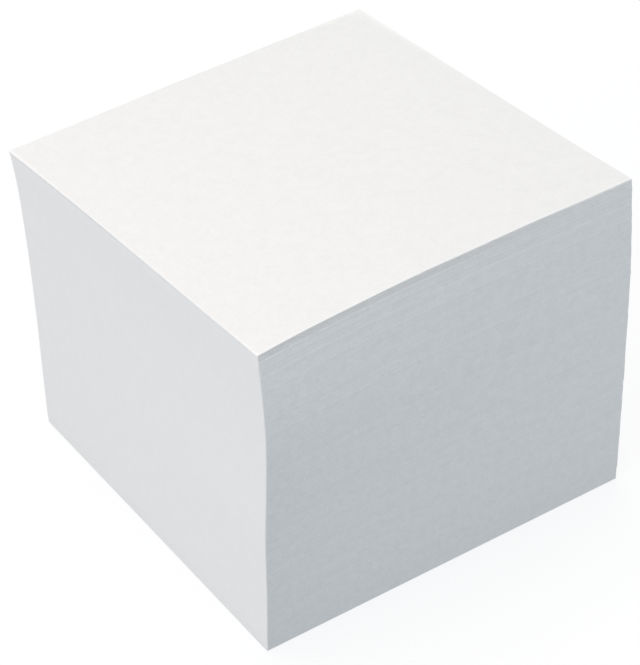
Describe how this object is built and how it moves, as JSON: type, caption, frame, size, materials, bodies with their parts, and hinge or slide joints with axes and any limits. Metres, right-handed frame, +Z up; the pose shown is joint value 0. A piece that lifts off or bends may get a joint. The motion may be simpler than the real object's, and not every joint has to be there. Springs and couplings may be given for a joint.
{
  "type": "memo cube",
  "caption": "Square block of plain white note sheets, glued along one side, with a slightly turned and bowed stack and a gently crowned top.",
  "frame": {"origin": "centre of the lowest sheet's underside, on the surface the block stands on", "axes": "+Z up through the stack, -Y out of the glued side, +X to the right of someone facing the glued side"},
  "size_m": [0.0926, 0.0935, 0.0755],
  "materials": {
    "note_paper": "uncoated white offset paper, matt, with guillotined edges",
    "padding_glue": "dried white padding glue, satin"
  },
  "bodies": {
    "root": {"sheet_stack": "note_paper", "glue_film": "padding_glue"}
  },
  "joints": []
}
